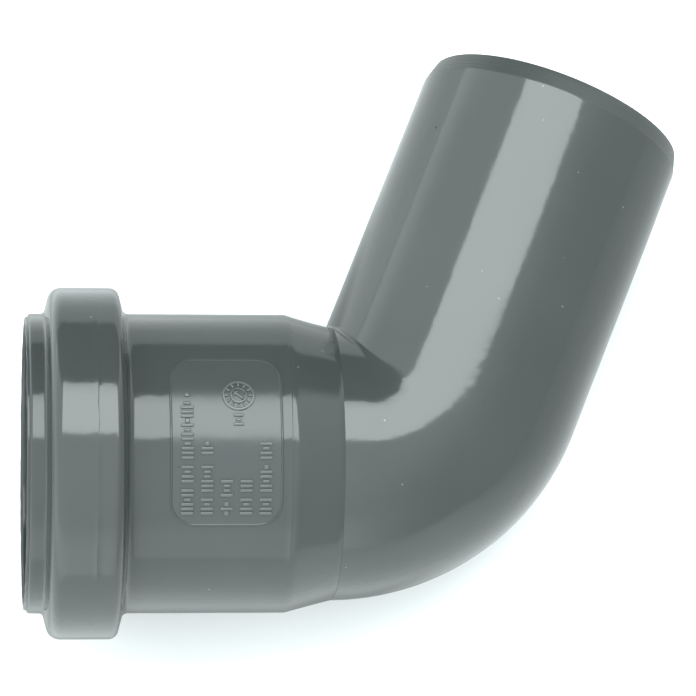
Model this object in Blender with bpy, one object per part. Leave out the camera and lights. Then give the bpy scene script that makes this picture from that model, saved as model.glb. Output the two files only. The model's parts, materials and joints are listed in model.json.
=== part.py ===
"""A 67.5 degree push-fit bend for 50 mm waste pipe, with the lip seal in its socket.

Both pieces are turned about a straight axis first and then carried round the bend.
Lengths are metres. In the fitting's own frame the socket and spigot axes cross at
the origin, the socket runs along -X, and the throat of the bend faces +Y.
"""

import math

import bmesh
import bpy
from mathutils import Matrix, Vector

# Driving dimensions of the bend.
BEND_ANGLE = math.radians(67.5)
BACK_RADIUS = 0.0489
THROAT_RADIUS = 0.0008
THROAT_OFFSET = 0.0140
THROAT_SOFTNESS = 0.0030

# Driving dimensions of the pipe ends.
SPIGOT_RADIUS = 0.0250
SPIGOT_ROOT_RADIUS = 0.0248
SPIGOT_LENGTH = 0.0723
SPIGOT_CHAMFER_LENGTH = 0.0034
SPIGOT_TIP_RADIUS = 0.02405
PIPE_BORE_RADIUS = 0.0232
SOCKET_LENGTH = 0.0720
SOCKET_RADIUS = 0.0272
SOCKET_BORE_RADIUS = 0.0254

# The bead that holds the seal, as distances from the crossing of the axes.
BEAD_RADIUS = 0.0319
BEAD_FRONT = 0.0685
BEAD_BACK = 0.0541
GROOVE_FRONT = 0.0663
GROOVE_BACK = 0.0566
GROOVE_RADIUS = 0.0301
COLLAR_BORE_RADIUS = 0.0257
RIM_INNER_RADIUS = 0.0260
RIM_ROUNDING = 0.0005

# The cone between the socket and the neck, which also stops the pushed-in pipe.
CONE_WIDE = 0.0248
CONE_NARROW = 0.01595
STOP_WIDE = 0.0255
STOP_NARROW = 0.0185
NECK_RADIUS = 0.02497

# The seal keeps this gap to its groove.
SEAL_GAP = 0.0003
SEAL_LIP_RADIUS = 0.0242

# How the fitting lies: its bead, its back and its spigot's end touch the surface.
REST_PITCH = math.radians(6.91)
REST_ROLL = math.radians(3.07)

SEGMENTS = 48
BEND_STEPS = 10
BEND_SPAN = 0.98
SHARP_ANGLE = math.radians(25)

SLOPE = math.tan(BEND_ANGLE / 2)
SPIGOT_DIRECTION = Vector((math.cos(BEND_ANGLE), math.sin(BEND_ANGLE), 0))
SPIGOT_THROAT_SIDE = Vector((-math.sin(BEND_ANGLE), math.cos(BEND_ANGLE), 0))


def turn_radius(offset):
    """The radius in which a line this far towards the throat turns through the bend."""

    def ramp(value):
        away = THROAT_OFFSET - value
        return (away + math.hypot(away, THROAT_SOFTNESS)) / 2

    share = ramp(offset) / ramp(-NECK_RADIUS)
    return THROAT_RADIUS + (BACK_RADIUS - THROAT_RADIUS) * share


def turn_start(offset):
    """How far from the crossing of the axes a line at this offset starts to turn."""
    return (offset + turn_radius(offset)) * SLOPE


def along_leg(distance, offset):
    """Moves a station near the bend outward where the throat's crease reaches past it."""
    if distance >= CONE_WIDE:
        return distance
    start = max(CONE_NARROW, turn_start(offset) + 0.0002)
    share = (distance - CONE_NARROW) / (CONE_WIDE - CONE_NARROW)
    return start + share * (CONE_WIDE - start)


def carry_round(point):
    """Takes a point of the straight fitting to its place on the bent one."""
    station, offset, side = point
    if station <= -CONE_NARROW:
        return Vector((-along_leg(-station, offset), offset, side))
    if station >= CONE_NARROW:
        middle = SPIGOT_DIRECTION * along_leg(station, offset)
        return middle + SPIGOT_THROAT_SIDE * offset + Vector((0, 0, side))
    share = (station / CONE_NARROW + BEND_SPAN) / (2 * BEND_SPAN)
    angle = BEND_ANGLE * min(max(share, 0), 1)
    radius = turn_radius(offset)
    forward = radius * math.sin(angle) - turn_start(offset)
    return Vector((forward, offset + radius * (1 - math.cos(angle)), side))


def bend_stations(radius_in, radius_out):
    """Stations through the bend, with the radius passing from one value to the other."""
    reach = CONE_NARROW * BEND_SPAN
    stations = []
    for step in range(BEND_STEPS + 1):
        share = step / BEND_STEPS
        stations.append((reach * (2 * share - 1), radius_in + (radius_out - radius_in) * share))
    return stations


def body_outline():
    """The wall's outline as (station, radius): down the outside, then back up the bore."""
    chamfer_start = SPIGOT_LENGTH - SPIGOT_CHAMFER_LENGTH
    outside = [
        (-SOCKET_LENGTH, RIM_INNER_RADIUS),
        (-SOCKET_LENGTH, SOCKET_RADIUS - RIM_ROUNDING),
        (-SOCKET_LENGTH + RIM_ROUNDING, SOCKET_RADIUS),
        (-BEAD_FRONT - 0.0003, SOCKET_RADIUS),
        (-BEAD_FRONT + 0.0003, SOCKET_RADIUS + 0.0008),
        (-BEAD_FRONT + 0.0007, BEAD_RADIUS - 0.0019),
        (-BEAD_FRONT + 0.0014, BEAD_RADIUS - 0.0006),
        (-BEAD_FRONT + 0.0026, BEAD_RADIUS),
        (-BEAD_BACK - 0.0030, BEAD_RADIUS),
        (-BEAD_BACK - 0.0018, BEAD_RADIUS - 0.0004),
        (-BEAD_BACK - 0.0007, BEAD_RADIUS - 0.0018),
        (-BEAD_BACK - 0.0001, SOCKET_RADIUS + 0.0004),
        (-BEAD_BACK + 0.0004, SOCKET_RADIUS),
        (-CONE_WIDE - 0.0004, SOCKET_RADIUS),
        (-CONE_WIDE + 0.0006, SOCKET_RADIUS - 0.0002),
        (-CONE_NARROW, NECK_RADIUS),
    ]
    outside += bend_stations(NECK_RADIUS, SPIGOT_ROOT_RADIUS)
    outside += [
        (CONE_NARROW, SPIGOT_ROOT_RADIUS),
        (CONE_WIDE, SPIGOT_ROOT_RADIUS),
        (chamfer_start, SPIGOT_RADIUS),
        (SPIGOT_LENGTH, SPIGOT_TIP_RADIUS),
    ]
    bore = [
        (SPIGOT_LENGTH, PIPE_BORE_RADIUS),
        (CONE_WIDE, PIPE_BORE_RADIUS),
        (CONE_NARROW, PIPE_BORE_RADIUS),
    ]
    bore += reversed(bend_stations(PIPE_BORE_RADIUS, PIPE_BORE_RADIUS))
    bore += [
        (-CONE_NARROW, PIPE_BORE_RADIUS),
        (-STOP_NARROW, PIPE_BORE_RADIUS),
        (-STOP_WIDE, SOCKET_BORE_RADIUS),
        (-GROOVE_BACK, SOCKET_BORE_RADIUS),
        (-GROOVE_BACK - 0.0003, GROOVE_RADIUS - 0.0008),
        (-GROOVE_BACK - 0.0012, GROOVE_RADIUS),
        (-GROOVE_FRONT + 0.0011, GROOVE_RADIUS),
        (-GROOVE_FRONT + 0.0003, GROOVE_RADIUS - 0.0008),
        (-GROOVE_FRONT, COLLAR_BORE_RADIUS),
        (-SOCKET_LENGTH + 0.0006, COLLAR_BORE_RADIUS),
    ]
    return outside + bore


def seal_outline():
    """The seal's section as (station, radius): a solid heel and a lip that leans inward."""
    front = -GROOVE_FRONT + 0.0008
    back = -GROOVE_BACK - 0.0010
    heel = GROOVE_RADIUS - SEAL_GAP
    return [
        (front, COLLAR_BORE_RADIUS + 0.0011),
        (front, heel - 0.0012),
        (front + 0.0012, heel),
        (back - 0.0012, heel),
        (back, heel - 0.0008),
        (back, heel - 0.0022),
        (back - 0.0018, heel - 0.0030),
        (back - 0.0006, SEAL_LIP_RADIUS + 0.0002),
        (back - 0.0014, SEAL_LIP_RADIUS),
        (front + 0.0024, COLLAR_BORE_RADIUS + 0.0003),
    ]


def turned_mesh(name, outline):
    """Spins a closed outline once about the straight axis."""
    shape = bmesh.new()
    corners = [shape.verts.new((station, radius, 0)) for station, radius in outline]
    edges = [shape.edges.new((one, two)) for one, two in zip(corners, corners[1:] + corners[:1])]
    bmesh.ops.spin(
        shape,
        geom=corners + edges,
        cent=(0, 0, 0),
        axis=(1, 0, 0),
        angle=2 * math.pi,
        steps=SEGMENTS,
        use_merge=True,
    )
    bmesh.ops.recalc_face_normals(shape, faces=shape.faces)
    mesh = bpy.data.meshes.new(name)
    shape.to_mesh(mesh)
    shape.free()
    return mesh


def bent_mesh(name, outline):
    """A turned shape carried round the bend."""
    mesh = turned_mesh(name, outline)
    for vertex in mesh.vertices:
        vertex.co = carry_round(vertex.co)
    mesh.shade_smooth()
    mesh.set_sharp_from_angle(angle=SHARP_ANGLE)
    return mesh


def plain_material(name, colour, roughness):
    """A Principled material of one colour."""
    material = bpy.data.materials.new(name)
    material.use_nodes = True
    shader = material.node_tree.nodes["Principled BSDF"]
    shader.inputs["Base Color"].default_value = (*colour, 1)
    shader.inputs["Roughness"].default_value = roughness
    shader.inputs["Metallic"].default_value = 0
    return material


def add_piece(name, mesh, material, parent):
    """Links one named piece under the resting frame."""
    piece = bpy.data.objects.new(name, mesh)
    mesh.materials.append(material)
    bpy.context.scene.collection.objects.link(piece)
    piece.parent = parent
    return piece


def lay_down(frame, pieces):
    """Turns the fitting as it lies, with its lowest points at z = 0 and its box centred."""
    turn = Matrix.Rotation(REST_ROLL, 4, "X") @ Matrix.Rotation(REST_PITCH, 4, "Y")
    points = [turn @ vertex.co for piece in pieces for vertex in piece.data.vertices]
    low = Vector(min(point[axis] for point in points) for axis in range(3))
    high = Vector(max(point[axis] for point in points) for axis in range(3))
    frame.rotation_euler = turn.to_euler()
    frame.location = (-(low.x + high.x) / 2, -(low.y + high.y) / 2, -low.z)


def main():
    """Builds both pieces and lays them down."""
    for old in list(bpy.data.objects):
        bpy.data.objects.remove(old, do_unlink=True)
    resting_frame = bpy.data.objects.new("resting_frame", None)
    bpy.context.scene.collection.objects.link(resting_frame)
    grey_plastic = plain_material("grey_plastic", (0.17, 0.20, 0.20), 0.28)
    black_rubber = plain_material("black_rubber", (0.02, 0.02, 0.02), 0.65)
    pieces = [
        add_piece("elbow_body", bent_mesh("elbow_body", body_outline()), grey_plastic, resting_frame),
        add_piece("lip_seal", bent_mesh("lip_seal", seal_outline()), black_rubber, resting_frame),
    ]
    lay_down(resting_frame, pieces)


main()
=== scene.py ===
"""Looks of a 67.5 degree push-fit bend for 50 mm waste pipe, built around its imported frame.

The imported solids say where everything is. This script replaces them with finely turned
surfaces that are carried round the bend, adds the raised moulding marks, and gives the
grey plastic and the black rubber their finishes. Lengths are metres throughout.

In the fitting's own frame the socket and spigot axes cross at the origin, the socket runs
along -X, the throat of the bend faces +Y, and +Z looks up from the bend's plane.
"""

from __future__ import annotations

import json
import logging
import math
from dataclasses import dataclass, field, replace
from enum import Enum

import bmesh
import bpy
from mathutils import Matrix, Vector, noise

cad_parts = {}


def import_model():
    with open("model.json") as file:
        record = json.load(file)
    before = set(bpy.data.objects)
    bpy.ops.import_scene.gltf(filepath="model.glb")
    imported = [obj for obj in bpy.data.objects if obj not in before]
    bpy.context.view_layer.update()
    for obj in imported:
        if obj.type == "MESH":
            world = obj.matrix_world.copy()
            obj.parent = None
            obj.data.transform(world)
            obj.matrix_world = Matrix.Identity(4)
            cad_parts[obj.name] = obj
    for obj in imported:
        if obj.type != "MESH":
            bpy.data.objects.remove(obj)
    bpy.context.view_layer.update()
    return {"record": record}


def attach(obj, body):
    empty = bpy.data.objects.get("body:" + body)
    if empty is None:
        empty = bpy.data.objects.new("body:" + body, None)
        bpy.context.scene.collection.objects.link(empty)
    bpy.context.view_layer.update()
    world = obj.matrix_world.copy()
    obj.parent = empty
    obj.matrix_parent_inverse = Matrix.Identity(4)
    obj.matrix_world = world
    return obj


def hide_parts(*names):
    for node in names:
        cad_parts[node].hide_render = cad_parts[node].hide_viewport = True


LOG = logging.getLogger("waste_pipe_bend")
ROOT_BODY = "root"
FULL_TURN = 2 * math.pi


class Slot(Enum):
    """The record's material slots."""

    GREY_PLASTIC = "grey_plastic"
    BLACK_RUBBER = "black_rubber"


class Mark(Enum):
    """What one raised mark of the moulding panel looks like."""

    TALL = "tall"
    SHORT = "short"
    DOT = "dot"
    GAP = "gap"


@dataclass(frozen=True)
class Corner:
    """A corner of a turned outline.

    Attributes:
        along: Signed distance from the crossing of the axes.
        radius: Distance from the axis.
        rounding: Radius of the arc that rounds the corner, 0 for a sharp one.
    """

    along: float
    radius: float
    rounding: float = 0.0

    @property
    def place(self) -> Vector:
        """The corner as a point of the outline's plane."""
        return Vector((self.along, self.radius))


@dataclass(frozen=True)
class Outline:
    """A closed outline that is turned about the straight axis."""

    corners: tuple[Corner, ...]
    arc_steps: int = 5
    longest_edge: float = 0.0011

    def rounded(self, before: Corner, corner: Corner, after: Corner) -> list[Vector]:
        """Replaces one corner with the points of its arc.

        Args:
            before: The corner before it.
            corner: The corner to round.
            after: The corner after it.

        Returns:
            The arc's points, or the corner itself where it stays sharp.
        """
        if corner.rounding <= 0:
            return [corner.place]
        back = (before.place - corner.place).normalized()
        forth = (after.place - corner.place).normalized()
        half = back.angle(forth) / 2
        reach = corner.rounding / math.tan(half)
        centre = corner.place + (back + forth).normalized() * (corner.rounding / math.sin(half))
        start = corner.place + back * reach - centre
        end = corner.place + forth * reach - centre
        sweep = start.angle(end)
        points = []
        for step in range(self.arc_steps + 1):
            share = step / self.arc_steps
            first = math.sin((1 - share) * sweep) / math.sin(sweep)
            second = math.sin(share * sweep) / math.sin(sweep)
            points.append(centre + start * first + end * second)
        return points

    def points(self) -> list[Vector]:
        """Rounds every corner and divides the long straight stretches.

        Returns:
            The outline's points in order, without repeating the first.
        """
        count = len(self.corners)
        sparse: list[Vector] = []
        for index, corner in enumerate(self.corners):
            after = self.corners[(index + 1) % count]
            sparse += self.rounded(self.corners[index - 1], corner, after)
        dense: list[Vector] = []
        for one, two in zip(sparse, sparse[1:] + sparse[:1]):
            pieces = max(1, math.ceil((two - one).length / self.longest_edge))
            dense += [one.lerp(two, step / pieces) for step in range(pieces)]
        return dense


@dataclass(frozen=True)
class BendLaw:
    """How a shape turned about a straight axis is carried round the bend.

    A line nearer the throat turns in a smaller radius, and past throat_offset the two
    legs meet in a crease. The bend takes up the stretch between -start and +start.

    Attributes:
        angle: Angle between the axes.
        back_radius: Radius in which the back of the bend turns.
        throat_radius: Radius of the crease at the throat.
        throat_offset: Offset towards the throat at which the crease begins.
        throat_softness: Over what offset the turn fades into the crease.
        neck_radius: Outer radius of the neck.
        start: Distance from the crossing of the axes at which the bend starts.
        reach: Distance beyond which a leg is left alone.
        span: Share of the bend's stretch over which it turns.
        tolerance: How near to a limit a station counts as on it.
    """

    angle: float = math.radians(67.5)
    back_radius: float = 0.0489
    throat_radius: float = 0.0005
    throat_offset: float = 0.0140
    throat_softness: float = 0.0030
    neck_radius: float = 0.02497
    start: float = 0.01595
    reach: float = 0.0248
    span: float = 0.98
    tolerance: float = 1e-6

    @property
    def slope(self) -> float:
        """Tangent of half the bend's angle."""
        return math.tan(self.angle / 2)

    @property
    def edge(self) -> float:
        """The station at which the turning itself begins."""
        return self.start * self.span

    @property
    def spigot_direction(self) -> Vector:
        """The way the spigot points."""
        return Vector((math.cos(self.angle), math.sin(self.angle), 0))

    @property
    def spigot_throat_side(self) -> Vector:
        """The spigot's side that faces the throat."""
        return Vector((-math.sin(self.angle), math.cos(self.angle), 0))

    def ramp(self, offset: float) -> float:
        """How far an offset is from the crease, with a soft start."""
        away = self.throat_offset - offset
        return (away + math.hypot(away, self.throat_softness)) / 2

    def turn_radius(self, offset: float) -> float:
        """The radius in which a line at this offset turns."""
        share = self.ramp(offset) / self.ramp(-self.neck_radius)
        return self.throat_radius + (self.back_radius - self.throat_radius) * share

    def turn_start(self, offset: float) -> float:
        """How far from the crossing of the axes a line at this offset starts to turn."""
        return (offset + self.turn_radius(offset)) * self.slope

    def along_leg(self, distance: float, offset: float) -> float:
        """Moves a station near the bend outward where the crease reaches past it.

        Args:
            distance: Distance from the crossing of the axes.
            offset: Offset towards the throat.

        Returns:
            The distance after the move.
        """
        if distance >= self.reach:
            return distance
        begin = max(self.start, self.turn_start(offset) + 0.0001)
        if distance < self.start:
            share = (distance - self.edge) / (self.start - self.edge)
            return self.turn_start(offset) + share * (begin - self.turn_start(offset))
        share = (distance - self.start) / (self.reach - self.start)
        return begin + share * (self.reach - begin)

    def carry(self, point: Vector) -> Vector:
        """Takes a point of the straight shape to its place on the bent one.

        Args:
            point: Station, offset towards the throat and height over the bend's plane.

        Returns:
            The point in the fitting's own frame.
        """
        station, offset, side = point
        if station < -self.edge - self.tolerance:
            return Vector((-self.along_leg(-station, offset), offset, side))
        if station > self.edge + self.tolerance:
            middle = self.spigot_direction * self.along_leg(station, offset)
            return middle + self.spigot_throat_side * offset + Vector((0, 0, side))
        share = (station / self.edge + 1) / 2
        angle = self.angle * min(max(share, 0), 1)
        radius = self.turn_radius(offset)
        forward = radius * math.sin(angle) - self.turn_start(offset)
        return Vector((forward, offset + radius * (1 - math.cos(angle)), side))

    def stations(self, first_radius: float, last_radius: float, steps: int) -> list[Corner]:
        """Corners through the bend, with the radius passing from one value to the other.

        Args:
            first_radius: Radius on the socket's side.
            last_radius: Radius on the spigot's side.
            steps: How many steps the bend is divided into.

        Returns:
            The corners, from the socket's side to the spigot's.
        """
        shares = [step / steps for step in range(steps + 1)]
        change = last_radius - first_radius
        return [Corner(self.edge * (2 * share - 1), first_radius + change * share) for share in shares]


@dataclass(frozen=True)
class RestingPlace:
    """How the fitting lies: bead, back of the bend and spigot's end on the surface."""

    pitch: float = math.radians(6.91)
    roll: float = math.radians(3.07)
    rim_point: tuple[float, float, float] = (-0.0720, 0.02635, 0.0)
    rim_mount: str = "socket_rim"

    def matrix(self, record: dict) -> Matrix:
        """Finds the fitting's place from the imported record.

        Args:
            record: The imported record, which says where the socket's rim is.

        Returns:
            The matrix from the fitting's own frame to the shared frame.
        """
        turn = Matrix.Rotation(self.roll, 4, "X") @ Matrix.Rotation(self.pitch, 4, "Y")
        mount = next(entry for entry in record["mounts"] if entry["name"] == self.rim_mount)
        rim = Vector(mount["pos_m"])
        return Matrix.Translation(rim - turn @ Vector(self.rim_point)) @ turn


def wavering(angle: float, count: float, seed: float) -> float:
    """A smooth value from -1 to 1 that wanders round a ring and closes on itself.

    Args:
        angle: Angle round the ring.
        count: How many waves there are, roughly.
        seed: Which of many patterns to use.

    Returns:
        The value at this angle.
    """
    reach = count / 4
    return noise.noise(Vector((math.cos(angle) * reach, math.sin(angle) * reach, seed)))


def finished_object(name: str, shape: bmesh.types.BMesh, place: Matrix, sharp: float) -> bpy.types.Object:
    """Puts a shape in its place and makes it an object at the shared origin.

    Args:
        name: The piece's name.
        shape: The shape in the fitting's own frame. It is freed.
        place: Matrix from the fitting's own frame to the shared frame.
        sharp: Angle in radians above which an edge is shaded sharp.

    Returns:
        The new object.
    """
    bmesh.ops.transform(shape, matrix=place, verts=shape.verts)
    bmesh.ops.recalc_face_normals(shape, faces=shape.faces)
    mesh = bpy.data.meshes.new(name)
    shape.to_mesh(mesh)
    shape.free()
    mesh.shade_smooth()
    mesh.set_sharp_from_angle(angle=sharp)
    piece = bpy.data.objects.new(name, mesh)
    bpy.context.scene.collection.objects.link(piece)
    return piece


@dataclass
class TurnedPiece:
    """A piece that is turned about the straight axis and carried round the bend."""

    law: BendLaw
    segments: int = 192
    sharp: float = math.radians(24)

    def turned(self, outline: Outline) -> bmesh.types.BMesh:
        """Spins an outline once about the straight axis.

        Args:
            outline: The closed outline.

        Returns:
            The straight shape.
        """
        shape = bmesh.new()
        corners = [shape.verts.new((point.x, point.y, 0)) for point in outline.points()]
        edges = [shape.edges.new(pair) for pair in zip(corners, corners[1:] + corners[:1])]
        bmesh.ops.spin(
            shape,
            geom=corners + edges,
            cent=(0, 0, 0),
            axis=(1, 0, 0),
            angle=FULL_TURN,
            steps=self.segments,
            use_merge=True,
        )
        return shape

    def carried(self, shape: bmesh.types.BMesh) -> bmesh.types.BMesh:
        """Carries a straight shape round the bend."""
        for vertex in shape.verts:
            vertex.co = self.law.carry(vertex.co)
        return shape


@dataclass
class ElbowBody(TurnedPiece):
    """The moulding: rim, collar, bead, barrel, stop cone, neck, bend and spigot.

    Distances along a leg are taken from the crossing of the axes.
    """

    socket_length: float = 0.0720
    socket_radius: float = 0.0272
    socket_bore: float = 0.0254
    bead_radius: float = 0.0319
    bead_front: float = 0.0685
    bead_back: float = 0.0541
    groove_front: float = 0.0663
    groove_back: float = 0.0566
    groove_radius: float = 0.0301
    collar_bore: float = 0.0257
    rim_inner: float = 0.0260
    lip_outer: float = 0.02662
    lip_height: float = 0.00055
    seam_station: float = -0.0597
    seam_width: float = 0.00014
    seam_height: float = 0.00003
    seam_wander: tuple[float, float] = (0.00022, 0.0001)
    cone_wide: float = 0.0246
    line_offset: float = 0.0009
    line_width: float = 0.00012
    line_depth: float = 0.00004
    stop_wide: float = 0.0255
    stop_narrow: float = 0.0185
    spigot_length: float = 0.0723
    spigot_radius: float = 0.0250
    spigot_root: float = 0.0248
    spigot_tip: float = 0.02405
    chamfer_length: float = 0.0034
    pipe_bore: float = 0.0232
    bend_steps: int = 64
    parting_width: float = 0.00012
    parting_height: float = 0.00003

    def outside(self) -> list[Corner]:
        """The outer wall's corners, from the socket's rim to the spigot's tip."""
        seam_top = self.bead_radius + self.seam_height
        cone_slope = (self.socket_radius - self.law.neck_radius) / (self.cone_wide - self.law.start)
        corners = [
            Corner(-self.socket_length, self.rim_inner, 0.00015),
            Corner(-self.socket_length, self.lip_outer, 0.0002),
            Corner(-self.socket_length + self.lip_height, self.lip_outer, 0.0001),
            Corner(-self.socket_length + self.lip_height, self.socket_radius, 0.0006),
            Corner(-self.bead_front, self.socket_radius, 0.0008),
            Corner(-self.bead_front + 0.0012, self.bead_radius, 0.0024),
            Corner(self.seam_station - self.seam_width, self.bead_radius),
            Corner(self.seam_station, seam_top),
            Corner(self.seam_station + self.seam_width, self.bead_radius),
            Corner(-self.bead_back - 0.0012, self.bead_radius, 0.0016),
            Corner(-self.bead_back, self.socket_radius, 0.0013),
            Corner(-self.cone_wide - self.line_offset - self.seam_width, self.socket_radius),
            Corner(-self.cone_wide - self.line_offset, self.socket_radius + self.seam_height),
            Corner(-self.cone_wide - self.line_offset + self.seam_width, self.socket_radius),
            Corner(-self.cone_wide, self.socket_radius, 0.005),
            Corner(-self.law.start - self.line_width, self.law.neck_radius + cone_slope * self.line_width),
            Corner(-self.law.start, self.law.neck_radius - self.line_depth),
            Corner(-self.law.start + 0.00001, self.law.neck_radius),
        ]
        corners += self.law.stations(self.law.neck_radius, self.spigot_root, self.bend_steps)
        corners += [
            Corner(self.law.start, self.spigot_root),
            Corner(self.law.reach, self.spigot_root),
            Corner(self.spigot_length - self.chamfer_length, self.spigot_radius, 0.0015),
            Corner(self.spigot_length, self.spigot_tip, 0.0002),
        ]
        return corners

    def bore(self) -> list[Corner]:
        """The bore's corners, from the spigot's tip back to the socket's rim."""
        corners = [
            Corner(self.spigot_length, self.pipe_bore, 0.0003),
            Corner(self.law.reach, self.pipe_bore),
            Corner(self.law.start, self.pipe_bore),
        ]
        corners += reversed(self.law.stations(self.pipe_bore, self.pipe_bore, self.bend_steps))
        corners += [
            Corner(-self.law.start, self.pipe_bore),
            Corner(-self.stop_narrow, self.pipe_bore, 0.002),
            Corner(-self.stop_wide, self.socket_bore, 0.0008),
            Corner(-self.groove_back, self.socket_bore, 0.0004),
            Corner(-self.groove_back - 0.0004, self.groove_radius, 0.0008),
            Corner(-self.groove_front + 0.0004, self.groove_radius, 0.0008),
            Corner(-self.groove_front, self.collar_bore, 0.0003),
            Corner(-self.socket_length + 0.0006, self.collar_bore, 0.0002),
        ]
        return corners

    def waver_seam(self, shape: bmesh.types.BMesh) -> None:
        """Lets the bead's witness line wander a little, as flash does."""
        for vertex in shape.verts:
            radius = math.hypot(vertex.co.y, vertex.co.z)
            close = abs(vertex.co.x - self.seam_station) < 2 * self.seam_width
            if not close or radius < self.bead_radius - self.seam_width:
                continue
            angle = math.atan2(vertex.co.z, vertex.co.y)
            broad = self.seam_wander[0] * wavering(angle, 30, 3.1)
            vertex.co.x += broad + self.seam_wander[1] * wavering(angle, 120, 7.7)
            if radius > self.bead_radius + self.seam_height / 2:
                lift = 1 + self.seam_height * wavering(angle, 90, 11.3) / radius
                vertex.co.y *= lift
                vertex.co.z *= lift

    def waver_rim(self, shape: bmesh.types.BMesh) -> None:
        """Gives the rim the slight unevenness of a trimmed edge."""
        for vertex in shape.verts:
            if vertex.co.x < -self.socket_length + 0.0004:
                angle = math.atan2(vertex.co.z, vertex.co.y)
                vertex.co.x += 0.00008 * wavering(angle, 40, 1.9) + 0.00008

    def raise_parting_line(self, shape: bmesh.types.BMesh) -> None:
        """Cuts the line where the mould halves meet and raises it on the outer wall."""
        for height in (-self.parting_width, 0, self.parting_width):
            bmesh.ops.bisect_plane(
                shape,
                geom=shape.verts[:] + shape.edges[:] + shape.faces[:],
                dist=1e-7,
                plane_co=(0, 0, height),
                plane_no=(0, 0, 1),
            )
        for vertex in shape.verts:
            wall_inner = self.collar_bore + 0.0007 if vertex.co.x < -self.stop_narrow else 0.0240
            on_line = abs(vertex.co.z) < self.parting_width / 4
            if on_line and abs(vertex.co.y) > wall_inner and vertex.co.x > -self.socket_length + 0.001:
                vertex.co.y += math.copysign(self.parting_height, vertex.co.y)

    def build(self, place: Matrix) -> bpy.types.Object:
        """Builds the moulding.

        Args:
            place: Matrix from the fitting's own frame to the shared frame.

        Returns:
            The object.
        """
        shape = self.turned(Outline(tuple(self.outside() + self.bore())))
        self.waver_seam(shape)
        self.waver_rim(shape)
        self.raise_parting_line(shape)
        return finished_object("elbow_body_surface", self.carried(shape), place, self.sharp)


@dataclass
class LipSeal(TurnedPiece):
    """The rubber ring in the bead's groove, with a heel and a lip that leans inward."""

    front: float = -0.0655
    back: float = -0.0576
    heel_radius: float = 0.0298
    foot_radius: float = 0.0268
    lip_radius: float = 0.0242
    rib_depth: float = 0.00025

    def outline(self) -> Outline:
        """The seal's section."""
        middle = (self.front + self.back) / 2
        return Outline(
            (
                Corner(self.front, self.foot_radius, 0.0004),
                Corner(self.front, self.heel_radius, 0.0009),
                Corner(middle - 0.0012, self.heel_radius, 0.0002),
                Corner(middle - 0.0008, self.heel_radius - self.rib_depth, 0.0002),
                Corner(middle + 0.0008, self.heel_radius - self.rib_depth, 0.0002),
                Corner(middle + 0.0012, self.heel_radius, 0.0002),
                Corner(self.back, self.heel_radius, 0.0009),
                Corner(self.back, self.heel_radius - 0.0024, 0.0004),
                Corner(self.back - 0.0019, self.heel_radius - 0.0032, 0.0006),
                Corner(self.back - 0.0005, self.lip_radius + 0.0001, 0.0002),
                Corner(self.back - 0.0014, self.lip_radius, 0.0003),
                Corner(self.front + 0.0024, self.foot_radius - 0.0008, 0.0015),
            ),
            longest_edge=0.0006,
        )

    def build(self, place: Matrix) -> bpy.types.Object:
        """Builds the seal.

        Args:
            place: Matrix from the fitting's own frame to the shared frame.

        Returns:
            The object.
        """
        shape = self.carried(self.turned(self.outline()))
        return finished_object("lip_seal_surface", shape, place, self.sharp)


@dataclass
class BarrelMarks:
    """The raised moulding marks on the barrel, without any lettering.

    A mark is made flat, as (along, round, height), and then wrapped onto the barrel:
    along runs with the socket's axis and round is the arc length from the top line.
    """

    radius: float = 0.0272
    sink: float = 0.00015
    easing: float = 0.42
    sharp: float = math.radians(30)

    def wrap(self, shape: bmesh.types.BMesh) -> bmesh.types.BMesh:
        """Wraps a flat shape onto the barrel.

        Args:
            shape: The flat shape.

        Returns:
            The same shape, wrapped.
        """
        for vertex in shape.verts:
            along, arc, height = vertex.co
            angle = arc / self.radius
            reach = self.radius + height
            vertex.co = Vector((along, reach * math.sin(angle), reach * math.cos(angle)))
        return shape

    def block(self, shape: bmesh.types.BMesh, place: Matrix, size: tuple[float, float, float]) -> None:
        """Adds a low block with eased edges, standing a little way into the barrel's wall.

        Args:
            shape: The shape to add to.
            place: Where the block's middle goes on the flat pattern.
            size: Length, width and height over the wall.
        """
        length, width, height = size
        made = bmesh.ops.create_cube(shape, size=1)["verts"]
        tall = height + self.sink
        scaling = Matrix.Diagonal((length, width, tall, 1))
        raised = Matrix.Translation((0, 0, (height - self.sink) / 2))
        bmesh.ops.transform(shape, matrix=place @ raised @ scaling, verts=made)
        edges = {edge for vertex in made for edge in vertex.link_edges}
        bmesh.ops.bevel(
            shape,
            geom=list(edges),
            affect="EDGES",
            offset=min(width, tall) * self.easing,
            segments=4,
            profile=0.5,
            material=-1,
        )


@dataclass(frozen=True)
class MarkRow:
    """One row of raised marks.

    Attributes:
        middle: The row's place along the socket's axis.
        height: Length of the tallest bar.
        pattern: One letter a mark: t for tall, s for short, d for a dot, a blank for a gap.
        first_arc: Where the row starts, or none to start with the panel's other rows.
    """

    middle: float
    height: float
    pattern: str
    first_arc: float | None = None


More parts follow.
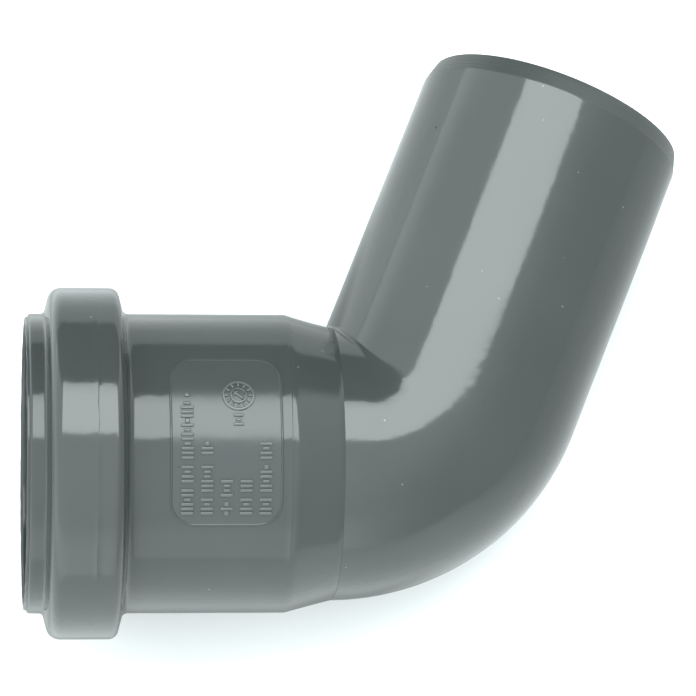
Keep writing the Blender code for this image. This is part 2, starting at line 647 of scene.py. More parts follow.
@dataclass
class MarkingPanel(BarrelMarks):
    """A matt face in a thin rounded border, with rows of plain raised bars on it."""

    low: tuple[float, float] = (-0.0471, -0.0162)
    high: tuple[float, float] = (-0.0271, 0.0155)
    border_width: float = 0.00050
    border_height: float = 0.00016
    border_easing: float = 0.46
    face_height: float = 0.00002
    face_cells: tuple[int, int] = (24, 64)
    corner_radius: float = 0.0045
    mark_height: float = 0.00029
    stroke: float = 0.00056
    pitch: float = 0.00082
    short_share: float = 0.55
    dot_share: float = 1.5
    first_arc: float = -0.0137
    row_margin: float = 0.0031
    row_height: float = 0.0023
    patterns: tuple[str, ...] = ()
    small_row: MarkRow = MarkRow(-0.0350, 0.0018, "tst", 0.0021)

    @property
    def rows(self) -> list[MarkRow]:
        """The rows, spaced evenly across the panel, and the small one beside the dial."""
        first = self.low[0] + self.row_margin
        step = (self.high[0] - self.row_margin - first) / (len(self.patterns) - 1)
        even = [
            MarkRow(first + step * index, self.row_height, pattern)
            for index, pattern in enumerate(self.patterns)
        ]
        return [*even, self.small_row]

    def border(self) -> bmesh.types.BMesh:
        """The panel's raised border, flat."""
        shape = bmesh.new()
        span = (self.high[0] - self.low[0], self.high[1] - self.low[1])
        middle = ((self.high[0] + self.low[0]) / 2, (self.high[1] + self.low[1]) / 2)
        bmesh.ops.create_grid(shape, x_segments=1, y_segments=1, size=0.5)
        sizing = Matrix.Translation((*middle, 0)) @ Matrix.Diagonal((*span, 1, 1))
        bmesh.ops.transform(shape, matrix=sizing, verts=shape.verts)
        bmesh.ops.bevel(
            shape,
            geom=shape.verts[:],
            affect="VERTICES",
            offset=self.corner_radius,
            segments=10,
            profile=0.5,
            material=-1,
        )
        long_edges = [edge for edge in shape.edges if edge.calc_length() > self.corner_radius]
        bmesh.ops.subdivide_edges(shape, edges=long_edges, cuts=40)
        bmesh.ops.inset_region(
            shape,
            faces=shape.faces[:],
            thickness=self.border_width,
            use_boundary=True,
            use_even_offset=True,
        )
        inner = max(shape.faces, key=lambda face: face.calc_area())
        bmesh.ops.delete(shape, geom=[inner], context="FACES")
        lower = Matrix.Translation((0, 0, -self.sink))
        bmesh.ops.transform(shape, matrix=lower, verts=shape.verts)
        grown = bmesh.ops.extrude_face_region(shape, geom=shape.faces[:])["geom"]
        top = [part for part in grown if isinstance(part, bmesh.types.BMVert)]
        bmesh.ops.translate(shape, verts=top, vec=(0, 0, self.sink + self.border_height))
        crest = [edge for edge in shape.edges if self.on_crest(edge)]
        bmesh.ops.bevel(
            shape,
            geom=crest,
            affect="EDGES",
            offset=self.border_width * self.border_easing,
            segments=3,
            profile=0.5,
            material=-1,
        )
        bmesh.ops.recalc_face_normals(shape, faces=shape.faces)
        return shape

    def on_crest(self, edge: bmesh.types.BMEdge) -> bool:
        """Whether an edge lies between the border's top and one of its sides."""
        high = all(vertex.co.z > 0 for vertex in edge.verts)
        return high and edge.calc_face_angle(0) > 1

    def face(self) -> bmesh.types.BMesh:
        """The panel's matt face, flat: a thin plate with rounded corners."""
        shape = bmesh.new()
        span = (self.high[0] - self.low[0], self.high[1] - self.low[1])
        middle = Vector(((self.high[0] + self.low[0]) / 2, (self.high[1] + self.low[1]) / 2, 0))
        cells = self.face_cells
        bmesh.ops.create_grid(shape, x_segments=cells[0], y_segments=cells[1], size=0.5)
        sizing = Matrix.Diagonal((span[0], span[1], 1, 1))
        bmesh.ops.transform(shape, matrix=sizing, verts=shape.verts)
        for vertex in shape.verts:
            inset = [span[axis] / 2 - self.corner_radius for axis in (0, 1)]
            past = Vector([max(0, abs(vertex.co[axis]) - inset[axis]) for axis in (0, 1)])
            if past.length > self.corner_radius:
                past *= self.corner_radius / past.length
                for axis in (0, 1):
                    vertex.co[axis] = math.copysign(inset[axis] + past[axis], vertex.co[axis])
        lowered = middle - Vector((0, 0, self.sink))
        bmesh.ops.translate(shape, verts=shape.verts, vec=lowered)
        grown = bmesh.ops.extrude_face_region(shape, geom=shape.faces[:])["geom"]
        top = [part for part in grown if isinstance(part, bmesh.types.BMVert)]
        bmesh.ops.translate(shape, verts=top, vec=(0, 0, self.sink + self.face_height))
        return shape

    def add_row(self, shape: bmesh.types.BMesh, row: MarkRow) -> None:
        """Adds one row of bars.

        Args:
            shape: The shape to add to.
            row: The row.
        """
        kinds = {"t": Mark.TALL, "s": Mark.SHORT, "d": Mark.DOT, " ": Mark.GAP}
        dot = self.stroke * self.dot_share
        lengths = {Mark.TALL: row.height, Mark.SHORT: row.height * self.short_share, Mark.DOT: dot}
        first = self.first_arc if row.first_arc is None else row.first_arc
        for index, letter in enumerate(row.pattern):
            kind = kinds[letter]
            if kind is Mark.GAP:
                continue
            width = dot if kind is Mark.DOT else self.stroke
            place = Matrix.Translation((row.middle, first + index * self.pitch, 0))
            self.block(shape, place, (lengths[kind], width, self.mark_height))

    def build(self, place: Matrix) -> list[bpy.types.Object]:
        """Builds the face, the border and the rows.

        Args:
            place: Matrix from the fitting's own frame to the shared frame.

        Returns:
            The face, the border and the bars.
        """
        bars = bmesh.new()
        for row in self.rows:
            self.add_row(bars, row)
        shapes = {"panel_face": self.face(), "panel_border": self.border(), "panel_bars": bars}
        return [
            finished_object(name, self.wrap(shape), place, self.sharp)
            for name, shape in shapes.items()
        ]


@dataclass
class DateDial(BarrelMarks):
    """A plain date dial: a low ring, a tick for each month and an arrow."""

    centre: tuple[float, float] = (-0.0349, 0.0075)
    outer: float = 0.0029
    ring_width: float = 0.00050
    ring_height: float = 0.00029
    hub: float = 0.00135
    ticks: int = 12
    tick_size: tuple[float, float, float] = (0.00090, 0.00044, 0.00029)
    arrow_angle: float = math.radians(140)
    arrow_share: float = 1.7
    arrow_section: tuple[float, float] = (0.00044, 0.00029)
    barb_share: float = 0.6
    barb_section: tuple[float, float] = (0.00030, 0.00029)
    barb_lean: float = 0.75
    barb_along: float = 0.55
    barb_aside: float = 0.0002

    def ring(self, shape: bmesh.types.BMesh, radius: float, width: float) -> None:
        """Adds a low ring with a narrowed top, made by spinning its section.

        Args:
            shape: The shape to add to.
            radius: The ring's mean radius.
            width: The ring's width.
        """
        section = [
            (radius - width / 2, -self.sink),
            (radius + width / 2, -self.sink),
            (radius + width / 2, self.ring_height * 0.5),
            (radius + width / 4, self.ring_height),
            (radius - width / 4, self.ring_height),
            (radius - width / 2, self.ring_height * 0.5),
        ]
        corners = [shape.verts.new((x, 0, z)) for x, z in section]
        edges = [shape.edges.new(pair) for pair in zip(corners, corners[1:] + corners[:1])]
        bmesh.ops.spin(
            shape,
            geom=corners + edges,
            cent=(0, 0, 0),
            axis=(0, 0, 1),
            angle=FULL_TURN,
            steps=72,
            use_merge=True,
        )

    def build(self, place: Matrix) -> bpy.types.Object:
        """Builds the dial.

        Args:
            place: Matrix from the fitting's own frame to the shared frame.

        Returns:
            The object.
        """
        shape = bmesh.new()
        self.ring(shape, self.outer - self.ring_width / 2, self.ring_width)
        self.ring(shape, self.hub, self.ring_width * 0.8)
        middle = (self.outer + self.hub) / 2
        for tick in range(self.ticks):
            turn = Matrix.Rotation(FULL_TURN * tick / self.ticks, 4, "Z")
            self.block(shape, turn @ Matrix.Translation((middle, 0, 0)), self.tick_size)
        turn = Matrix.Rotation(self.arrow_angle, 4, "Z")
        self.block(shape, turn, (self.hub * self.arrow_share, *self.arrow_section))
        for side in (-1, 1):
            lean = Matrix.Rotation(-side * self.barb_lean, 4, "Z")
            barb = Matrix.Translation((self.hub * self.barb_along, side * self.barb_aside, 0)) @ lean
            self.block(shape, turn @ barb, (self.hub * self.barb_share, *self.barb_section))
        bmesh.ops.translate(shape, verts=shape.verts, vec=(*self.centre, 0))
        return finished_object("date_dial", self.wrap(shape), place, self.sharp)


# The finishes.


class Nodes:
    """A node tree with short ways to add and link nodes."""

    def __init__(self, tree: bpy.types.NodeTree) -> None:
        """Keeps the tree to build in."""
        self.tree = tree

    def add(self, kind: str, **settings: object) -> bpy.types.Node:
        """Adds a node and sets its properties.

        Args:
            kind: The node's type, without the ShaderNode prefix.
            **settings: Properties of the node.

        Returns:
            The node.
        """
        node = self.tree.nodes.new("ShaderNode" + kind)
        for name, value in settings.items():
            setattr(node, name, value)
        return node

    def join(self, source: bpy.types.NodeSocket, target: bpy.types.NodeSocket) -> None:
        """Links one socket to another."""
        self.tree.links.new(source, target)

    def math(self, kind: str, first: object, second: object) -> bpy.types.NodeSocket:
        """Adds a Math node.

        Args:
            kind: The operation.
            first: A socket or a number.
            second: A socket or a number.

        Returns:
            The result's socket.
        """
        node = self.add("Math", operation=kind)
        for index, value in enumerate((first, second)):
            if isinstance(value, bpy.types.NodeSocket):
                self.join(value, node.inputs[index])
            else:
                node.inputs[index].default_value = value
        return node.outputs[0]

    def noise(self, vector: bpy.types.NodeSocket, scale: object, detail: float) -> bpy.types.NodeSocket:
        """Adds a Noise texture and returns its value."""
        node = self.add("TexNoise")
        self.join(vector, node.inputs["Vector"])
        node.inputs["Detail"].default_value = detail
        if isinstance(scale, bpy.types.NodeSocket):
            self.join(scale, node.inputs["Scale"])
        else:
            node.inputs["Scale"].default_value = scale
        return node.outputs[0]

    def fade(self, value: bpy.types.NodeSocket, start: float, end: float) -> bpy.types.NodeSocket:
        """A soft step.

        Args:
            value: The value to follow.
            start: Where the step begins.
            end: Where it ends.

        Returns:
            A value that goes from 0 to 1.
        """
        node = self.add("MapRange", interpolation_type="SMOOTHSTEP")
        self.join(value, node.inputs["Value"])
        node.inputs["From Min"].default_value = start
        node.inputs["From Max"].default_value = end
        return node.outputs[0]

    def spread(self, value: bpy.types.NodeSocket, ends: tuple[float, float]) -> bpy.types.NodeSocket:
        """Carries a value from 0 to 1 over to another range.

        Args:
            value: The value.
            ends: What 0 and 1 become.

        Returns:
            The carried value.
        """
        node = self.add("MapRange")
        self.join(value, node.inputs["Value"])
        node.inputs["To Min"].default_value, node.inputs["To Max"].default_value = ends
        return node.outputs[0]

    def along(self, vector: bpy.types.NodeSocket, direction: tuple[float, ...]) -> bpy.types.NodeSocket:
        """Measures how far coordinates reach along a direction.

        Args:
            vector: The coordinates.
            direction: The direction.

        Returns:
            The length along it.
        """
        node = self.add("VectorMath", operation="DOT_PRODUCT")
        self.join(vector, node.inputs[0])
        node.inputs[1].default_value = direction
        return node.outputs["Value"]

    def emboss(self, height: bpy.types.NodeSocket, depth: float, shader: bpy.types.Node) -> None:
        """Lets a height from 0 to 1 shape a shader's normal.

        Args:
            height: The height.
            depth: How many metres a height of 1 stands for.
            shader: The shader.
        """
        bump = self.add("Bump")
        bump.inputs["Strength"].default_value = 1.0
        bump.inputs["Distance"].default_value = depth
        self.join(height, bump.inputs["Height"])
        self.join(bump.outputs["Normal"], shader.inputs["Normal"])

    def tint(self, share: bpy.types.NodeSocket, base: object, colour: object) -> bpy.types.NodeSocket:
        """Mixes a colour over another.

        Args:
            share: How much of the new colour shows.
            base: The colour below, as a socket or three numbers.
            colour: The new colour, as a socket or three numbers.

        Returns:
            The mixed colour's socket.
        """
        node = self.add("Mix", data_type="RGBA")
        self.join(share, node.inputs["Factor"])
        for name, value in (("A", base), ("B", colour)):
            socket = next(entry for entry in node.inputs if entry.name == name and entry.type == "RGBA")
            if isinstance(value, bpy.types.NodeSocket):
                self.join(value, socket)
            else:
                socket.default_value = (*value, 1)
        return next(entry for entry in node.outputs if entry.type == "RGBA")

    def stretched(self, vector: bpy.types.NodeSocket, turn: tuple[float, float, float],
                  scale: tuple[float, float, float]) -> bpy.types.NodeSocket:
        """Turns and scales coordinates, so a pattern runs in one direction."""
        node = self.add("Mapping", vector_type="POINT")
        node.inputs["Rotation"].default_value = turn
        node.inputs["Scale"].default_value = scale
        self.join(vector, node.inputs["Vector"])
        return node.outputs["Vector"]


@dataclass(frozen=True)
class Effect:
    """A shader effect that several finishes share, kept as a node group."""

    name: str
    inputs: tuple[tuple[str, str, float], ...]
    outputs: tuple[str, ...]

    def group(self) -> bpy.types.NodeTree:
        """Builds the group the first time and returns it."""
        known = bpy.data.node_groups.get(self.name)
        if known:
            return known
        tree = bpy.data.node_groups.new(self.name, "ShaderNodeTree")
        for name, kind, value in self.inputs:
            socket = tree.interface.new_socket(name=name, in_out="INPUT", socket_type=kind)
            if kind == "NodeSocketFloat":
                socket.default_value = value
        for name in self.outputs:
            tree.interface.new_socket(name=name, in_out="OUTPUT", socket_type="NodeSocketFloat")
        nodes = Nodes(tree)
        entry = tree.nodes.new("NodeGroupInput")
        leave = tree.nodes.new("NodeGroupOutput")
        self.fill(nodes, entry, leave)
        return tree

    def fill(self, nodes: Nodes, entry: bpy.types.Node, leave: bpy.types.Node) -> None:
        """Makes the group's nodes. Each effect has its own."""
        raise NotImplementedError

    def use(self, nodes: Nodes, vector: bpy.types.NodeSocket, **values: float) -> bpy.types.Node:
        """Places the effect in a material.

        Args:
            nodes: The material's nodes.
            vector: The coordinates it reads.
            **values: Its inputs, with _ for a blank in a name.

        Returns:
            The group's node.
        """
        node = nodes.add("Group", node_tree=self.group())
        nodes.join(vector, node.inputs["Vector"])
        for name, value in values.items():
            node.inputs[name.replace("_", " ").title()].default_value = value
        return node


@dataclass(frozen=True)
class MouldedRelief(Effect):
    """The shallow waves and fine grain of a moulded surface, as a height."""

    name: str = "moulded_relief"
    inputs: tuple = (
        ("Vector", "NodeSocketVector", 0),
        ("Wave Scale", "NodeSocketFloat", 190),
        ("Grain Scale", "NodeSocketFloat", 2600),
        ("Grain Share", "NodeSocketFloat", 0.1),
    )
    outputs: tuple = ("Height",)

    def fill(self, nodes: Nodes, entry: bpy.types.Node, leave: bpy.types.Node) -> None:
        """Adds a broad noise and a fine one."""
        vector = entry.outputs["Vector"]
        wave = nodes.noise(vector, entry.outputs["Wave Scale"], 1.5)
        grain = nodes.noise(vector, entry.outputs["Grain Scale"], 2.0)
        fine = nodes.math("MULTIPLY", grain, entry.outputs["Grain Share"])
        nodes.join(nodes.math("ADD", wave, fine), leave.inputs["Height"])


@dataclass(frozen=True)
class Cloudiness(Effect):
    """Soft uneven tone, from 0 to 1."""

    name: str = "cloudiness"
    inputs: tuple = (
        ("Vector", "NodeSocketVector", 0),
        ("Scale", "NodeSocketFloat", 40),
        ("Contrast", "NodeSocketFloat", 1),
    )
    outputs: tuple = ("Share",)

    def fill(self, nodes: Nodes, entry: bpy.types.Node, leave: bpy.types.Node) -> None:
        """Spreads a noise about its middle and clamps it."""
        cloud = nodes.noise(entry.outputs["Vector"], entry.outputs["Scale"], 3.0)
        spread = nodes.math("MULTIPLY", nodes.math("SUBTRACT", cloud, 0.5), entry.outputs["Contrast"])
        result = nodes.add("Math", operation="ADD", use_clamp=True)
        nodes.join(spread, result.inputs[0])
        result.inputs[1].default_value = 0.5
        nodes.join(result.outputs[0], leave.inputs["Share"])


@dataclass(frozen=True)
class Specks(Effect):
    """Scattered small spots, as a mask."""

    name: str = "specks"
    inputs: tuple = (
        ("Vector", "NodeSocketVector", 0),
        ("Scale", "NodeSocketFloat", 300),
        ("Size", "NodeSocketFloat", 0.1),
        ("Share", "NodeSocketFloat", 0.1),
    )
    outputs: tuple = ("Mask",)

    def fill(self, nodes: Nodes, entry: bpy.types.Node, leave: bpy.types.Node) -> None:
        """Keeps the middle of some of the cells of a Voronoi pattern."""
        cells = nodes.add("TexVoronoi", feature="F1")
        nodes.join(entry.outputs["Vector"], cells.inputs["Vector"])
        nodes.join(entry.outputs["Scale"], cells.inputs["Scale"])
        pick = nodes.add("SeparateColor")
        nodes.join(cells.outputs["Color"], pick.inputs[0])
        kept = nodes.math("LESS_THAN", pick.outputs[0], entry.outputs["Share"])
        close = nodes.math("DIVIDE", cells.outputs["Distance"], entry.outputs["Size"])
        spot = nodes.fade(close, 1.0, 0.6)
        nodes.join(nodes.math("MULTIPLY", kept, spot), leave.inputs["Mask"])


@dataclass(frozen=True)
class GreyPlastic:
    """Semi-gloss grey polypropylene, with handling marks and dust.

    Attributes:
        base: Its colour.
        pale: What its colour drifts to in soft patches.
        dust: Colour of the dust and the fine scuffs.
        fleck: Colour of the flecks in the plastic.
        roughness: Roughness where it is glossiest and dullest.
        ior: Index of refraction.
        wave_depth: Depth of the moulded surface's shallow waves.
        gloss: Specular level on most of the fitting, and on the barrel and collar.
        spigot: The way the spigot points.
        chamfer_from: Where along the spigot the turned chamfer begins.
        ring_scale: How fine the chamfer's turned rings are.
        ring_roughness: How much roughness they add.
        sleeve_from: Where along the straight axis the duller sleeve begins.
        bead_middle: Distance of the glossy bead's middle from the crossing of the axes.
        bead_half: Half of the bead's length, and the same with its fillets.
        inclusion: Colour of the larger dark spots.
        scuff: Colour of the larger rubbed spots.
        name: The material's name.
    """

    base: tuple[float, float, float] = (0.0365, 0.0415, 0.0413)
    pale: tuple[float, float, float] = (0.0435, 0.0495, 0.0493)
    dust: tuple[float, float, float] = (0.17, 0.185, 0.18)
    fleck: tuple[float, float, float] = (0.03, 0.034, 0.034)
    roughness: tuple[float, float] = (0.085, 0.125)
    ior: float = 1.49
    wave_depth: float = 0.000028
    gloss: tuple[float, float] = (0.50, 0.42)
    spigot: tuple[float, float, float] = (1, 0, 0)
    chamfer_from: tuple[float, float] = (0.0688, 0.0690)
    ring_scale: float = 6000
    ring_roughness: float = 0.5
    sleeve_from: tuple[float, float] = (-0.0235, -0.0255)
    bead_middle: float = 0.0613
    bead_half: tuple[float, float] = (0.0070, 0.0074)
    inclusion: tuple[float, float, float] = (0.004, 0.004, 0.004)
    scuff: tuple[float, float, float] = (0.19, 0.205, 0.20)
    name: str = "grey_moulded_plastic"

    def material(self, place: Matrix) -> bpy.types.Material:
        """Builds the material.

        Args:
            place: Matrix from the fitting's own frame to the shared frame.

        Returns:
            The material.
        """
        material = bpy.data.materials.new(self.name)
        material.use_nodes = True
        nodes = Nodes(material.node_tree)
        shader = material.node_tree.nodes["Principled BSDF"]
        own = self.own_frame(nodes, place)
        self.dress_colour(nodes, own, shader)
        self.dress_roughness(nodes, own, shader)
        self.dress_gloss(nodes, own, shader)
        relief = MouldedRelief().use(nodes, own, wave_scale=300, grain_scale=2600, grain_share=0.07)
        nodes.emboss(relief.outputs["Height"], self.wave_depth, shader)
        shader.inputs["IOR"].default_value = self.ior
        return material

    def own_frame(self, nodes: Nodes, place: Matrix) -> bpy.types.NodeSocket:
        """Gives coordinates in the fitting's own frame.

        Args:
            nodes: The material's nodes.
            place: Matrix from the fitting's own frame to the shared frame.

        Returns:
            The coordinates' socket.
        """
        source = nodes.add("TexCoord")
        node = nodes.add("Mapping", vector_type="TEXTURE")
        node.inputs["Location"].default_value = place.to_translation()
        node.inputs["Rotation"].default_value = place.to_euler()
        nodes.join(source.outputs["Object"], node.inputs["Vector"])
        return node.outputs["Vector"]

    def dress_colour(self, nodes: Nodes, own: bpy.types.NodeSocket, shader: bpy.types.Node) -> None:
        """Builds the colour: soft cloudiness, flecks, dust, scuffs and a few larger spots."""
        cloud = Cloudiness().use(nodes, own, scale=45, contrast=1.6)
        colour = nodes.tint(cloud.outputs["Share"], self.base, self.pale)
        flecks = Specks().use(nodes, own, scale=260, size=0.055, share=0.2)
        colour = nodes.tint(flecks.outputs["Mask"], colour, self.fleck)
        dust = Specks().use(nodes, own, scale=330, size=0.06, share=0.10)
        colour = nodes.tint(dust.outputs["Mask"], colour, self.dust)
        for turn, stretch in (((0.2, 0.4, 0.6), (70, 520, 520)), ((1.1, -0.5, 2.0), (90, 600, 600))):
            lines = nodes.stretched(own, turn, tuple(value / 100 for value in stretch))
            scuffs = Specks().use(nodes, lines, scale=100, size=0.07, share=0.02)
            faint = nodes.math("MULTIPLY", scuffs.outputs["Mask"], 0.5)
            colour = nodes.tint(faint, colour, self.dust)
        dark = Specks().use(nodes, own, scale=90, size=0.036, share=0.4)
        colour = nodes.tint(dark.outputs["Mask"], colour, self.inclusion)
        drawn_out = nodes.stretched(own, (0, 0, 0.5), (0.35, 1, 1))
        rubbed = Specks().use(nodes, drawn_out, scale=110, size=0.030, share=0.3)
        colour = nodes.tint(rubbed.outputs["Mask"], colour, self.scuff)
        nodes.join(colour, shader.inputs["Base Color"])

    def dress_roughness(self, nodes: Nodes, own: bpy.types.NodeSocket, shader: bpy.types.Node) -> None:
        """Lets the gloss vary softly, and dulls the chamfer with fine turned rings."""
        cloud = Cloudiness().use(nodes, own, scale=120, contrast=1.4)
        moulded = nodes.spread(cloud.outputs["Share"], self.roughness)
        along = nodes.along(own, self.spigot)
        rings = nodes.add("TexNoise", noise_dimensions="1D")
        nodes.join(along, rings.inputs["W"])
        rings.inputs["Scale"].default_value = self.ring_scale
        turned = nodes.math("MULTIPLY", rings.outputs[0], self.ring_roughness)
        added = nodes.math("MULTIPLY", turned, nodes.fade(along, *self.chamfer_from))
        nodes.join(nodes.math("ADD", moulded, added), shader.inputs["Roughness"])

    def dress_gloss(self, nodes: Nodes, own: bpy.types.NodeSocket, shader: bpy.types.Node) -> None:
        """Makes the barrel and the collar a little duller than the rest."""
        split = nodes.add("SeparateXYZ")
        nodes.join(own, split.inputs[0])
        along = split.outputs["X"]
        sleeve = nodes.fade(along, *self.sleeve_from)
        from_bead = nodes.math("ABSOLUTE", nodes.math("ADD", along, self.bead_middle), 0)
        share = nodes.math("MULTIPLY", sleeve, nodes.fade(from_bead, *self.bead_half))
        nodes.join(nodes.spread(share, self.gloss), shader.inputs["Specular IOR Level"])


@dataclass(frozen=True)
class BlackRubber:
    """Matt black elastomer with a little bloom and dust."""

    base: tuple[float, float, float] = (0.012, 0.012, 0.013)
    bloom: tuple[float, float, float] = (0.03, 0.03, 0.032)
    dust: tuple[float, float, float] = (0.25, 0.25, 0.24)
    roughness: tuple[float, float] = (0.52, 0.68)
    relief_depth: float = 0.00002

    def material(self) -> bpy.types.Material:
        """Builds the material."""
        material = bpy.data.materials.new("black_seal_rubber")
        material.use_nodes = True
        nodes = Nodes(material.node_tree)
        shader = material.node_tree.nodes["Principled BSDF"]
        own = nodes.add("TexCoord").outputs["Object"]
        cloud = Cloudiness().use(nodes, own, scale=90, contrast=2.0)
        colour = nodes.tint(cloud.outputs["Share"], self.base, self.bloom)
        dust = Specks().use(nodes, own, scale=420, size=0.09, share=0.06)
        colour = nodes.tint(dust.outputs["Mask"], colour, self.dust)
        nodes.join(colour, shader.inputs["Base Color"])
        nodes.join(nodes.spread(cloud.outputs["Share"], self.roughness), shader.inputs["Roughness"])
        relief = MouldedRelief().use(nodes, own, wave_scale=300, grain_scale=4200, grain_share=0.5)
        nodes.emboss(relief.outputs["Height"], self.relief_depth, shader)
        return material


@dataclass(frozen=True)
class Glow:
    """A soft change of the room's glow along one direction.

    Attributes:
        towards: The direction in which it changes.
        limits: Where the change begins and ends, as the cosine to that direction.
        colour: The glow after the change.
    """

    towards: tuple[float, float, float]
    limits: tuple[float, float]
    colour: tuple[float, float, float]

    def share(self, nodes: Nodes, direction: bpy.types.NodeSocket) -> bpy.types.NodeSocket:
        """How far the change has come in a direction.

        Args:
            nodes: The world's nodes.
            direction: The direction looked in.

        Returns:
            The share's socket.
        """
        return nodes.fade(nodes.along(direction, self.towards), *self.limits)


@dataclass(frozen=True)
class PaleFloor:
    """A plain near-white table top.

    For rays other than the camera's its colour carries painted light: a painted fall-off that darkens it
    towards the far right, and a painted shadow in a strip beside the socket.

    Attributes:
        base: Its colour as seen.
        shade: What its colour drifts to in soft patches.
        painted_light_near_left: Its colour for rays other than the camera's on the near left, a painted
            pool of light.
        painted_shade_far_right: Its colour for rays other than the camera's on the far right, painted
            shade of the light's fall-off.
        towards: The direction in which that changes.
        limits: Where along that direction it changes.
        painted_shadow: Its colour for rays other than the camera's beside the socket, a painted shadow.
        painted_shadow_middle: How far the painted shadow's middle is from the middle of the floor, towards
            -Y.
        painted_shadow_reach: Where across the strip the painted shadow fades.
        painted_shadow_end: Where along X it fades.
    """

    base: tuple[float, float, float] = (0.90, 0.905, 0.905)
    shade: tuple[float, float, float] = (0.87, 0.875, 0.875)
    painted_light_near_left: tuple[float, float, float] = (0.84, 0.845, 0.845)
    painted_shade_far_right: tuple[float, float, float] = (0.46, 0.465, 0.465)
    towards: tuple[float, float, float] = (0.70, 0.714, 0)
    limits: tuple[float, float] = (-0.06, 0.09)
    painted_shadow: tuple[float, float, float] = (0.40, 0.405, 0.405)
    painted_shadow_middle: float = 0.009
    painted_shadow_reach: tuple[float, float] = (0.040, 0.056)
    painted_shadow_end: tuple[float, float] = (0.0, 0.03)

    def material(self) -> bpy.types.Material:
        """Builds the material."""
        material = bpy.data.materials.new("pale_floor")
        material.use_nodes = True
        nodes = Nodes(material.node_tree)
        shader = material.node_tree.nodes["Principled BSDF"]
        own = nodes.add("TexCoord").outputs["Object"]
        cloud = Cloudiness().use(nodes, own, scale=3, contrast=1.0)
        seen = nodes.tint(cloud.outputs["Share"], self.base, self.shade)
        # Painted light: for rays other than the camera's the floor fades from a painted pool of light on
        # the near left to painted shade on the far right.
        change = Glow(self.towards, self.limits, self.painted_shade_far_right)
        bounce_with_painted_light = nodes.tint(change.share(nodes, own), self.painted_light_near_left, self.painted_shade_far_right)
        # Painted shadow: rays other than the camera's see a darker strip beside the socket.
        bounce_with_painted_light = nodes.tint(self.clear_of_painted_shadow(nodes, own), self.painted_shadow, bounce_with_painted_light)
        direct = nodes.add("LightPath").outputs["Is Camera Ray"]
        nodes.join(nodes.tint(direct, bounce_with_painted_light, seen), shader.inputs["Base Color"])
        shader.inputs["Roughness"].default_value = 0.6
        return material

    def clear_of_painted_shadow(self, nodes: Nodes, own: bpy.types.NodeSocket) -> bpy.types.NodeSocket:
        """How far a place is from the painted shadow in the strip beside the socket.

        Args:
            nodes: The material's nodes.
            own: The floor's coordinates.

        Returns:
            A value that is 0 under and beside the socket and 1 away from it.
        """
        split = nodes.add("SeparateXYZ")
        nodes.join(own, split.inputs[0])
        across = nodes.math("ABSOLUTE", nodes.math("ADD", split.outputs["Y"], self.painted_shadow_middle), 0)
        beside = nodes.fade(across, *self.painted_shadow_reach)
        past = nodes.fade(split.outputs["X"], *self.painted_shadow_end)
        return nodes.math("MAXIMUM", beside, past)


@dataclass(frozen=True)
class View:
    """Where the camera stands, as a person sees it.

    Attributes:
        azimuth: Which way it looks, with 0 along +Y.
        elevation: How far above the horizon it stands.
        roll: How far it is turned about its own line of sight.
        distance: How far it is from what it looks at.
        target: What it looks at.
        lens: Focal length for a sensor 36 mm wide.
    """

    azimuth: float = math.radians(-0.92)
    elevation: float = math.radians(74.91)
    roll: float = math.radians(-2.08)
    distance: float = 0.6598
    target: tuple[float, float, float] = (0.00028, 0.00032, 0.025)
    lens: float = 184.25

    @property
    def backward(self) -> Vector:
        """The direction from the target to the camera."""
        level = math.cos(self.elevation)
        return Vector((
            -math.sin(self.azimuth) * level,
            -math.cos(self.azimuth) * level,
            math.sin(self.elevation),
        ))

    def matrix(self) -> Matrix:
        """The camera's matrix."""
        turn = self.backward.to_track_quat("Z", "Y").to_matrix().to_4x4()
        place = Vector(self.target) + self.backward * self.distance
        return Matrix.Translation(place) @ turn @ Matrix.Rotation(self.roll, 4, "Z")


@dataclass(frozen=True)
class Room:
    """The room: a glow that is brighter low down, dimmer on the right and dark at the far wall."""

    glow: tuple[float, float, float] = (1.80, 1.95, 1.95)
    backdrop: tuple[float, float, float] = (1.0, 1.0, 1.0)
    low: Glow = Glow((0, 0.18, 0.984), (0.46, 0.12), (2.6, 2.78, 2.78))
    right: Glow = Glow((0.94, -0.34, 0), (0.25, 0.85), (0.95, 1.02, 1.02))
    wall: Glow = Glow((0.02, 0.965, 0.26), (0.72, 0.82), (0.16, 0.17, 0.17))

    def build(self) -> None:
        """Sets the world up."""
        world = bpy.data.worlds.new("studio_room")
        world.use_nodes = True
        tree = world.node_tree
        nodes = Nodes(tree)
        direction = nodes.add("TexCoord").outputs["Generated"]
        colour: object = self.glow
        for change in (self.low, self.right, self.wall):
            colour = nodes.tint(change.share(nodes, direction), colour, change.colour)
        seen = nodes.tint(nodes.add("LightPath").outputs["Is Camera Ray"], colour, self.backdrop)
        nodes.join(seen, tree.nodes["Background"].inputs["Color"])
        bpy.context.scene.world = world


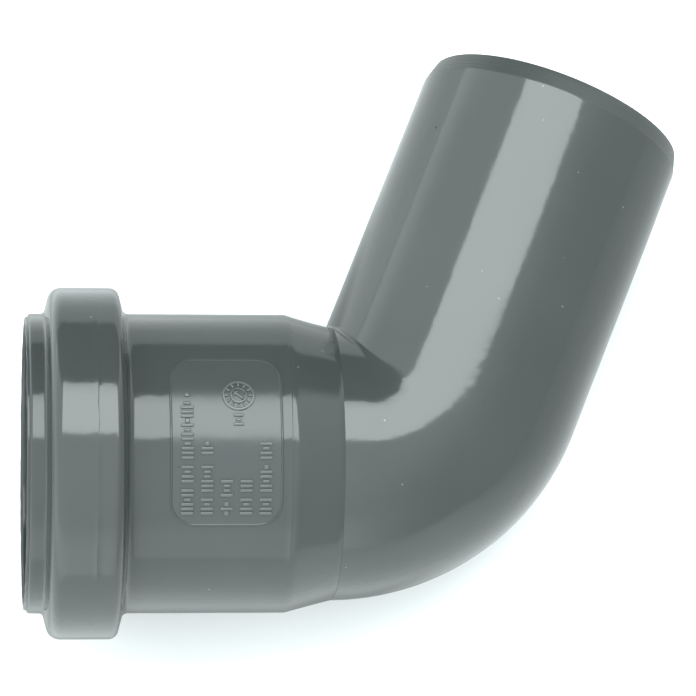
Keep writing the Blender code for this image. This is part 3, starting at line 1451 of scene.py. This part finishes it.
@dataclass
class Studio:
    """A pale floor, one square softbox, a soft fill that leaves no highlight, and the camera."""

    view: View = field(default_factory=View)
    floor_size: float = 6.0
    box_centre: tuple[float, float, float] = (0.09, 0.87, 1.0)
    box_size: tuple[float, float] = (1.02, 1.02)
    box_power: float = 20.3
    fill_centre: tuple[float, float, float] = (-0.8, -1.3, 0.9)
    fill_size: tuple[float, float] = (1.0, 1.0)
    fill_power: float = 14.0
    box_colour: tuple[float, float, float] = (0.93, 1.0, 1.0)
    room: Room = field(default_factory=Room)

    def floor(self) -> bpy.types.Object:
        """Builds the floor."""
        shape = bmesh.new()
        bmesh.ops.create_grid(shape, x_segments=1, y_segments=1, size=self.floor_size / 2)
        floor = finished_object("floor", shape, Matrix.Translation((0, 0, -0.00002)), math.radians(30))
        floor.data.materials.append(PaleFloor().material())
        return floor

    def panel(self, name: str, centre: tuple[float, float, float], size: tuple[float, float],
              power: float) -> bpy.types.Object:
        """Hangs a flat light square to the camera's line of sight.

        Args:
            name: The light's name.
            centre: Its middle, as the camera sees it: right, up and towards the camera.
            size: Its width and height.
            power: Its power in watts.

        Returns:
            The light.
        """
        data = bpy.data.lights.new(name, "AREA")
        data.shape = "RECTANGLE"
        data.size, data.size_y = size
        data.energy = power
        data.color = self.box_colour
        light = bpy.data.objects.new(name, data)
        turn = self.view.matrix().to_3x3().to_4x4()
        target = Vector(self.view.target)
        light.visible_camera = False
        light.matrix_world = Matrix.Translation(target) @ turn @ Matrix.Translation(centre)
        bpy.context.scene.collection.objects.link(light)
        return light

    def camera(self) -> None:
        """Sets up the camera."""
        data = bpy.data.cameras.new("studio_camera")
        data.sensor_width = 36.0
        data.lens = self.view.lens
        data.clip_start = 0.01
        camera = bpy.data.objects.new("studio_camera", data)
        camera.matrix_world = self.view.matrix()
        bpy.context.scene.collection.objects.link(camera)
        bpy.context.scene.camera = camera

    def build(self) -> None:
        """Sets up the floor, the lights and the camera."""
        self.floor()
        self.panel("softbox", self.box_centre, self.box_size, self.box_power)
        fill = self.panel("fill", self.fill_centre, self.fill_size, self.fill_power)
        fill.visible_glossy = False
        self.room.build()
        self.camera()
        bpy.context.scene.view_settings.view_transform = "Standard"


PATTERNS = (
    "tttstt ttst tttsttstdttts d",
    "ttst tttsst  ttd",
    "dtd tsst",
    "ttst ttt",
    "ttst ttsttd ttst",
)


def main() -> None:
    """Builds the fitting's pieces, gives them their finishes and sets up the studio."""
    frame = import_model()
    law = BendLaw()
    place = RestingPlace().matrix(frame["record"])
    glossy = GreyPlastic(spigot=tuple(law.spigot_direction))
    grey = glossy.material(place)
    matt = replace(
        glossy,
        base=(0.042, 0.0475, 0.047),
        pale=(0.050, 0.0565, 0.056),
        roughness=(0.16, 0.21),
        name="grey_matt_plastic",
    ).material(place)
    # Painted highlight: the raised bars and the date dial get a paler grey that stands for the light
    # caught by their raised tops.
    marks_painted_highlight = replace(
        glossy,
        base=(0.070, 0.078, 0.077),
        pale=(0.085, 0.094, 0.093),
        roughness=(0.11, 0.16),
        name="grey_painted_highlight_plastic",
    ).material(place)
    black = BlackRubber().material()

    body = ElbowBody(law).build(place)
    seal = LipSeal(law).build(place)
    marks = MarkingPanel(patterns=PATTERNS).build(place) + [DateDial().build(place)]
    special = {"panel_face": matt, "panel_bars": marks_painted_highlight, "date_dial": marks_painted_highlight}
    for piece in (body, *marks):
        piece.data.materials.append(special.get(piece.name, grey))
        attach(piece, ROOT_BODY)
    seal.data.materials.append(black)
    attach(seal, ROOT_BODY)
    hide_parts("elbow_body")
    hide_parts("lip_seal")
    for piece in (body, seal, *marks):
        LOG.info("%s: %d faces", piece.name, len(piece.data.polygons))

    Studio().build()


if __name__ == "__main__":
    logging.basicConfig(level=logging.INFO)
    main()
